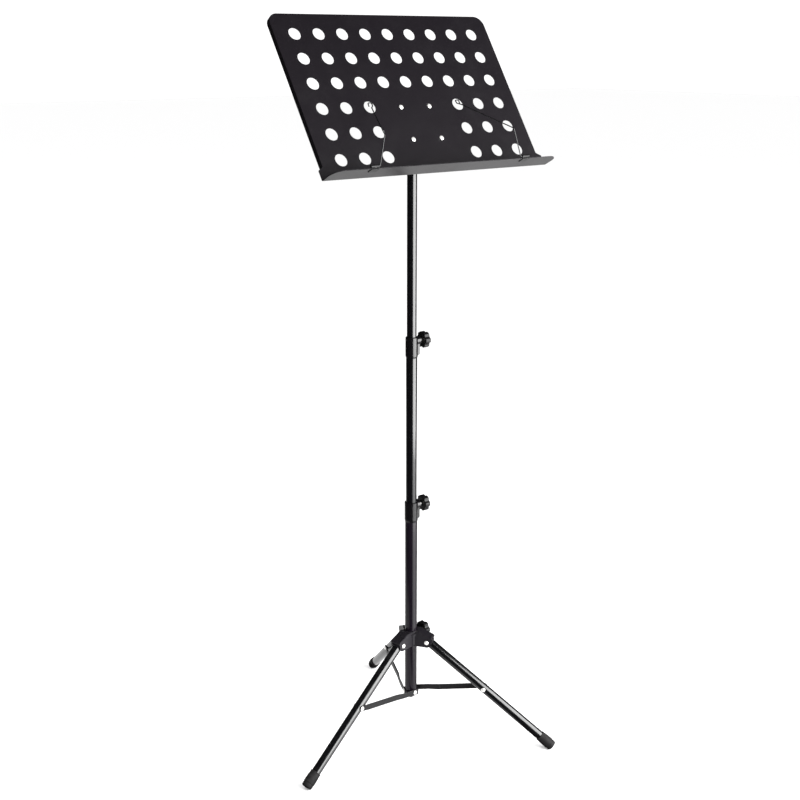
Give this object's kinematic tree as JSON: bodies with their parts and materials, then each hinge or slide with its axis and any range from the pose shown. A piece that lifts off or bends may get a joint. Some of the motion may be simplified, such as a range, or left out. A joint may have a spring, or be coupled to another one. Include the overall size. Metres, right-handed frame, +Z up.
{
  "type": "music stand",
  "caption": "Folding orchestral music stand: perforated tilting desk with ledge and page arms, telescopic mast with star knobs, and a folding tripod base.",
  "frame": {"origin": "floor level under the middle of the stand's box, close to the mast's axis", "axes": "+Z up along the mast, +X towards the clamp knobs and along the desk, -Y towards the player"},
  "size_m": [0.5496, 0.5182, 1.4332],
  "materials": {
    "gloss_black": "gloss black paint",
    "mast_black": "semi-gloss black paint",
    "desk_black": "fine matt black powder coat",
    "brace_black": "satin black paint",
    "clip_black": "satin black paint",
    "moulded_black": "satin moulded plastic",
    "knob_black": "satin moulded plastic",
    "bright_nickel": "bright nickel plate",
    "zinc_screw": "bright zinc plate",
    "brass": "turned brass",
    "foot_rubber": "matt moulded rubber",
    "wire_black": "black nickel wire"
  },
  "bodies": {
    "lower_mast": {"lower_tube": "mast_black", "lower_collar": "moulded_black", "lower_insert": "brass", "spider": "moulded_black", "spider_rivets": "bright_nickel"},
    "hub": {"hub": "moulded_black", "hub_insert": "brass", "leg_pivot_rivets": "bright_nickel"},
    "hub_clamp": {"hub_knob": "knob_black", "hub_screw": "zinc_screw"},
    "middle_mast": {"middle_tube": "gloss_black", "middle_guide": "moulded_black", "upper_collar": "moulded_black", "upper_insert": "brass"},
    "lower_clamp": {"lower_knob": "knob_black", "lower_screw": "zinc_screw"},
    "upper_clamp": {"upper_knob": "knob_black", "upper_screw": "zinc_screw"},
    "upper_mast": {"upper_tube": "gloss_black", "upper_guide": "moulded_black"},
    "tilt_head": {"tilt_head": "moulded_black"},
    "desk": {"desk_panel": "desk_black", "desk_bracket": "clip_black", "desk_rivets": "bright_nickel", "tilt_bolt": "bright_nickel", "page_clip_left": "clip_black", "page_clip_right": "clip_black"},
    "tilt_clamp": {"tilt_knob": "knob_black"},
    "page_arm_left": {"page_arm_left": "wire_black"},
    "page_arm_right": {"page_arm_right": "wire_black"},
    "leg_left": {"leg_tube_left": "gloss_black", "leg_knuckle_left": "moulded_black", "leg_stud_left": "bright_nickel", "foot_left": "foot_rubber"},
    "brace_left": {"brace_left": "brace_black", "brace_rivet_left": "bright_nickel"},
    "leg_right": {"leg_tube_right": "gloss_black", "leg_knuckle_right": "moulded_black", "leg_stud_right": "bright_nickel", "foot_right": "foot_rubber"},
    "brace_right": {"brace_right": "brace_black", "brace_rivet_right": "bright_nickel"},
    "leg_rear": {"leg_tube_rear": "gloss_black", "leg_knuckle_rear": "moulded_black", "leg_stud_rear": "bright_nickel", "foot_rear": "foot_rubber"},
    "brace_rear": {"brace_rear": "brace_black", "brace_rivet_rear": "bright_nickel"}
  },
  "joints": [
    {"name": "hub_slide", "type": "slide", "parent": "lower_mast", "child": "hub", "axis": [0, 0, 1], "range_m": [0, 0.1813]},
    {"name": "middle_slide", "type": "slide", "parent": "lower_mast", "child": "middle_mast", "axis": [0, 0, 1], "range_m": [-0.23, 0.02]},
    {"name": "upper_slide", "type": "slide", "parent": "middle_mast", "child": "upper_mast", "axis": [0, 0, 1], "range_m": [-0.23, 0.02]},
    {"name": "desk_swivel", "type": "hinge", "parent": "upper_mast", "child": "tilt_head", "pos_m": [0.02229, -0.02507, 1.2272], "axis": [0, 0, 1], "continuous": true},
    {"name": "desk_tilt", "type": "hinge", "parent": "tilt_head", "child": "desk", "pos_m": [0.02229, -0.02507, 1.2272], "axis": [1, 0, 0], "range_deg": [-50, 34]},
    {"name": "tilt_knob_turn", "type": "hinge", "parent": "desk", "child": "tilt_clamp", "pos_m": [0.05029, -0.02507, 1.2272], "axis": [1, 0, 0], "range_deg": [0, 360]},
    {"name": "lower_knob_turn", "type": "hinge", "parent": "lower_mast", "child": "lower_clamp", "pos_m": [0.05229, -0.02507, 0.502], "axis": [1, 0, 0], "range_deg": [0, 360]},
    {"name": "upper_knob_turn", "type": "hinge", "parent": "middle_mast", "child": "upper_clamp", "pos_m": [0.05229, -0.02507, 0.836], "axis": [1, 0, 0], "range_deg": [0, 360]},
    {"name": "hub_knob_turn", "type": "hinge", "parent": "hub", "child": "hub_clamp", "pos_m": [0.05676, -0.01899, 0.223], "axis": [0.9848, 0.1736, 0], "range_deg": [0, 360]},
    {"name": "leg_fold_left", "type": "hinge", "parent": "hub", "child": "leg_left", "pos_m": [-0.01198, -0.03111, 0.2125], "axis": [0.1736, -0.9848, 0], "range_deg": [0, 50.3]},
    {"name": "brace_fold_left", "type": "hinge", "parent": "lower_mast", "child": "brace_left", "pos_m": [0.02032, -0.02541, 0.096], "axis": [-0.1736, 0.9848, 0], "range_deg": [0, 67.27]},
    {"name": "leg_fold_right", "type": "hinge", "parent": "hub", "child": "leg_right", "pos_m": [0.04466, -0.05172, 0.2125], "axis": [0.766, 0.6428, 0], "range_deg": [0, 50.3]},
    {"name": "brace_fold_right", "type": "hinge", "parent": "lower_mast", "child": "brace_right", "pos_m": [0.02358, -0.0266, 0.096], "axis": [-0.766, -0.6428, 0], "range_deg": [0, 67.27]},
    {"name": "leg_fold_rear", "type": "hinge", "parent": "hub", "child": "leg_rear", "pos_m": [0.0342, 0.00764, 0.2125], "axis": [-0.9397, 0.342, 0], "range_deg": [0, 50.3]},
    {"name": "brace_fold_rear", "type": "hinge", "parent": "lower_mast", "child": "brace_rear", "pos_m": [0.02298, -0.02319, 0.096], "axis": [0.9397, -0.342, 0], "range_deg": [0, 67.27]},
    {"name": "page_arm_swing_left", "type": "hinge", "parent": "desk", "child": "page_arm_left", "pos_m": [-0.14771, -0.14488, 1.18382], "axis": [1, 0, 0], "range_deg": [0, 70]},
    {"name": "page_arm_swing_right", "type": "hinge", "parent": "desk", "child": "page_arm_right", "pos_m": [0.19229, -0.14488, 1.18382], "axis": [1, 0, 0], "range_deg": [0, 70]}
  ],
  "couplings": [
    {"joint": "leg_fold_left", "follows": "hub_slide", "rad_per_m": 4.8326},
    {"joint": "brace_fold_left", "follows": "hub_slide", "rad_per_m": 6.4663},
    {"joint": "leg_fold_right", "follows": "hub_slide", "rad_per_m": 4.8326},
    {"joint": "brace_fold_right", "follows": "hub_slide", "rad_per_m": 6.4663},
    {"joint": "leg_fold_rear", "follows": "hub_slide", "rad_per_m": 4.8326},
    {"joint": "brace_fold_rear", "follows": "hub_slide", "rad_per_m": 6.4663}
  ]
}
